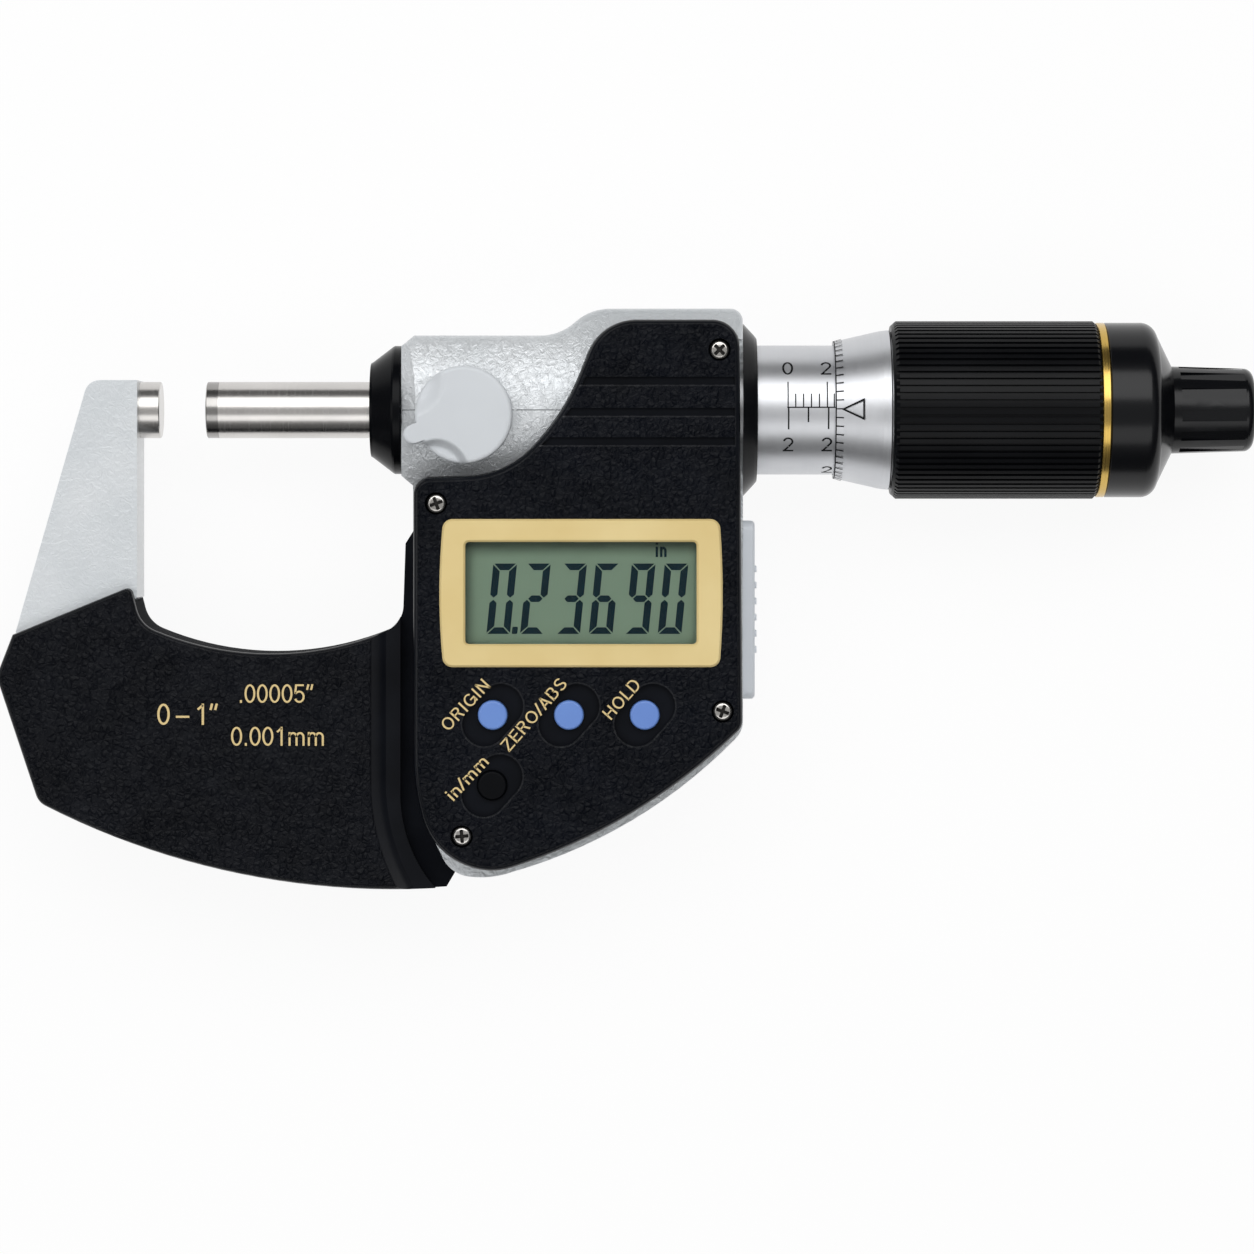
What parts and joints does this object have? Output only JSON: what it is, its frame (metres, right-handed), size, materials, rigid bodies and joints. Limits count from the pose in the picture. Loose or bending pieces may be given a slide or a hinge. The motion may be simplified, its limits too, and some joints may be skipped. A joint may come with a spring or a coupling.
{
  "type": "digital outside micrometer",
  "caption": "Digital outside micrometer with tapering bow, screw-fed spindle, spindle clamp, ribbed ratchet thimble, scale sleeve and a covered display housing with push buttons.",
  "frame": {"origin": "centre of the anvil's measuring face, on the spindle axis", "axes": "+X along the spindle from the anvil towards the thimble, +Y up on the dial side (away from the bow), +Z out of the display; the instrument lies on its back"},
  "size_m": [0.1632, 0.0752, 0.0249],
  "materials": {
    "frame_paint": "crinkled light grey paint",
    "ground_steel": "ground and lapped",
    "carbide": "lapped carbide",
    "black_plastic_smooth": "smooth satin black",
    "black_cover": "fine leather-grained black",
    "seal_rubber": "plain",
    "board": "green laminate",
    "brass_part": "turned",
    "satin_chrome": "satin chrome plate",
    "grip_rubber": "lengthwise ribs",
    "gold_metal": "polished ring",
    "grey_plastic": "smooth light grey",
    "screw_steel": "blackened steel",
    "gold_plastic": "pale gold metallic",
    "window": "clear",
    "lcd": "grey-green display",
    "blue_key": "soft blue",
    "black_key": "smooth black",
    "cell": "nickel plated cell"
  },
  "bodies": {
    "frame": {"frame": "frame_paint", "anvil": "ground_steel", "anvil_tip": "carbide", "nose_cap": "black_plastic_smooth", "spindle_wiper": "seal_rubber", "guide_bush": "ground_steel", "encoder_stator": "board", "rotor_retainer": "brass_part", "sleeve": "satin_chrome", "rear_collar": "black_plastic_smooth", "feed_nut": "brass_part", "clamp_shoe": "brass_part", "front_bow_cover": "black_cover", "rear_bow_cover": "black_cover", "display_cover": "black_cover", "cover_gasket": "seal_rubber", "cover_screw_1": "screw_steel", "cover_screw_2": "screw_steel", "cover_screw_3": "screw_steel", "cover_screw_4": "screw_steel", "display_bezel": "gold_plastic", "display_window": "window", "lcd_panel": "lcd", "lcd_connectors": "seal_rubber", "circuit_board": "board", "key_mat": "seal_rubber", "battery": "cell", "battery_contact": "brass_part", "data_socket": "black_plastic_smooth"},
    "rotor": {"encoder_rotor": "board"},
    "spindle": {"spindle": "ground_steel", "spindle_tip": "carbide", "thimble": "satin_chrome", "thimble_nut": "ground_steel", "ratchet_wheel": "ground_steel", "ratchet_screw": "ground_steel"},
    "grip": {"grip_core": "black_plastic_smooth", "rubber_grip": "grip_rubber", "bright_ring": "gold_metal", "end_cap": "black_plastic_smooth", "speeder_knob": "black_plastic_smooth", "knob_plug": "black_plastic_smooth", "pawl_ring": "ground_steel", "ratchet_spring": "ground_steel"},
    "clamp": {"clamp_knob": "grey_plastic", "clamp_shaft": "ground_steel"},
    "origin_key": {"origin_button": "blue_key"},
    "zero_key": {"zero_button": "blue_key"},
    "hold_key": {"hold_button": "blue_key"},
    "unit_key": {"unit_button": "black_key"},
    "battery_seal": {"cap_seal": "seal_rubber"},
    "battery_cap": {"battery_cap": "black_plastic_smooth"},
    "outlet_cover": {"outlet_cover": "grey_plastic"}
  },
  "joints": [
    {"name": "thimble_turn", "type": "hinge", "parent": "frame", "child": "rotor", "pos_m": [0.0615, 0, 0], "axis": [1, 0, 0], "range_deg": [-1083, 3492]},
    {"name": "spindle_feed", "type": "slide", "parent": "rotor", "child": "spindle", "axis": [1, 0, 0], "range_m": [-0.00601, 0.01939]},
    {"name": "ratchet_turn", "type": "hinge", "parent": "spindle", "child": "grip", "pos_m": [0.11, 0, 0], "axis": [1, 0, 0], "continuous": true},
    {"name": "clamp_turn", "type": "hinge", "parent": "frame", "child": "clamp", "pos_m": [0.03985, -0.0008, 0.0095], "axis": [0, 0, 1], "range_deg": [-60, 0]},
    {"name": "origin_press", "type": "slide", "parent": "frame", "child": "origin_key", "axis": [0, 0, -1], "range_m": [0, 0.0005], "stiffness_N_per_m": 700, "springref_m": -0.0004},
    {"name": "zero_press", "type": "slide", "parent": "frame", "child": "zero_key", "axis": [0, 0, -1], "range_m": [0, 0.0005], "stiffness_N_per_m": 700, "springref_m": -0.0004},
    {"name": "hold_press", "type": "slide", "parent": "frame", "child": "hold_key", "axis": [0, 0, -1], "range_m": [0, 0.0005], "stiffness_N_per_m": 700, "springref_m": -0.0004},
    {"name": "unit_press", "type": "slide", "parent": "frame", "child": "unit_key", "axis": [0, 0, -1], "range_m": [0, 0.0005], "stiffness_N_per_m": 700, "springref_m": -0.0004},
    {"name": "battery_cap_lift", "type": "slide", "parent": "frame", "child": "battery_seal", "axis": [0, 0, -1], "range_m": [0, 0.003]},
    {"name": "battery_cap_turn", "type": "hinge", "parent": "battery_seal", "child": "battery_cap", "pos_m": [0.055, -0.044, -0.011], "axis": [0, 0, -1], "range_deg": [0, 1441]},
    {"name": "outlet_cover_pull", "type": "slide", "parent": "frame", "child": "outlet_cover", "axis": [1, 0, 0], "range_m": [0, 0.006]}
  ],
  "couplings": [
    {"joint": "thimble_turn", "follows": "spindle_feed", "rad_per_m": 3141.6},
    {"joint": "battery_cap_turn", "follows": "battery_cap_lift", "rad_per_m": 8377.6}
  ]
}
